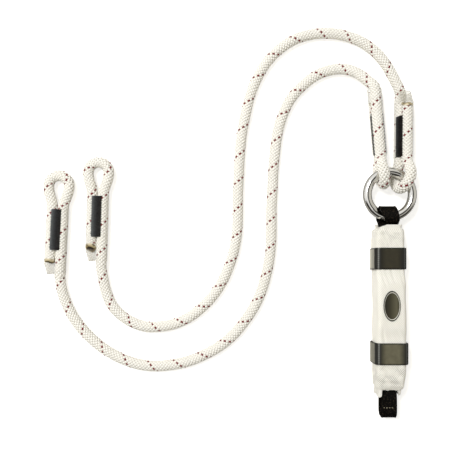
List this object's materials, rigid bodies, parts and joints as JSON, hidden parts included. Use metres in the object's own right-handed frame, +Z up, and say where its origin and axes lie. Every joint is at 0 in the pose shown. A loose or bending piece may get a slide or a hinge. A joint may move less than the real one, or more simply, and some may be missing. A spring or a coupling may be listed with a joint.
{
  "type": "twin shock-absorbing lanyard",
  "caption": "Twin rope lanyard with sewn eyes, a steel ring and a folded tear-webbing absorber pack with webbing loops.",
  "frame": {"origin": "middle of the absorber pack's flat underside, on the table that the lanyard lies on", "axes": "+Y from the absorber to the steel ring, +Z up from the table, +X to the right as seen in the picture"},
  "size_m": [0.3838, 0.4014, 0.0356],
  "materials": {
    "rope_sheath": "braided, cream with a thin dark red tracer",
    "black_thread": "dense zigzag stitching",
    "melted_end": "heat-sealed rope end",
    "clear_sleeve": "clear shrink tube",
    "ring_steel": "polished",
    "cover_canvas": "cream twill",
    "liner_fabric": "plain white weave",
    "tear_webbing": "grey woven webbing",
    "black_webbing": "woven webbing",
    "band_rubber": "smooth",
    "label_patch": "dark olive, raised rim",
    "pale_thread": "bar stitches"
  },
  "bodies": {
    "rope_legs": {"left_rope": "rope_sheath", "right_rope": "rope_sheath", "left_far_eye": "rope_sheath", "left_far_stitching": "black_thread", "left_far_sleeve": "clear_sleeve", "left_far_tail_end": "melted_end", "right_far_eye": "rope_sheath", "right_far_stitching": "black_thread", "right_far_sleeve": "clear_sleeve", "right_far_tail_end": "melted_end"},
    "ring": {"steel_ring": "ring_steel"},
    "left_ring_splice": {"left_ring_eye": "rope_sheath", "left_ring_stitching": "black_thread", "left_ring_sleeve": "clear_sleeve", "left_ring_tail_end": "melted_end"},
    "right_ring_splice": {"right_ring_eye": "rope_sheath", "right_ring_stitching": "black_thread", "right_ring_sleeve": "clear_sleeve", "right_ring_tail_end": "melted_end"},
    "absorber": {"absorber_cover": "cover_canvas", "inner_liner": "liner_fabric", "tear_webbing": "tear_webbing", "upper_webbing_loop": "black_webbing", "lower_webbing_loop": "black_webbing", "upper_loop_tack": "black_thread", "lower_loop_tack": "black_thread", "lower_loop_seam": "pale_thread", "label_patch": "label_patch"},
    "upper_band": {"upper_band": "band_rubber"},
    "lower_band": {"lower_band": "band_rubber"}
  },
  "joints": [
    {"name": "ring_spin", "type": "hinge", "parent": "rope_legs", "child": "ring", "pos_m": [0, 0.1157, 0.01793], "axis": [0, 0, 1], "continuous": true},
    {"name": "left_leg_swing", "type": "hinge", "parent": "rope_legs", "child": "left_ring_splice", "pos_m": [-0.00862, 0.13703, 0.01793], "axis": [0.975, 0.222, 0], "range_deg": [0, 75], "deforming": ["left_rope"]},
    {"name": "right_leg_swing", "type": "hinge", "parent": "rope_legs", "child": "right_ring_splice", "pos_m": [0.01352, 0.13431, 0.01793], "axis": [0.9239, -0.253, -0.287], "range_deg": [0, 75], "deforming": ["right_rope"]},
    {"name": "absorber_swing", "type": "hinge", "parent": "rope_legs", "child": "absorber", "pos_m": [0, 0.0927, 0.01793], "axis": [-1, 0, 0], "range_deg": [0, 90]},
    {"name": "upper_band_slide", "type": "slide", "parent": "absorber", "child": "upper_band", "axis": [0, 1, 0], "range_m": [-0.006, 0.006]},
    {"name": "lower_band_slide", "type": "slide", "parent": "absorber", "child": "lower_band", "axis": [0, 1, 0], "range_m": [-0.006, 0.006]}
  ]
}
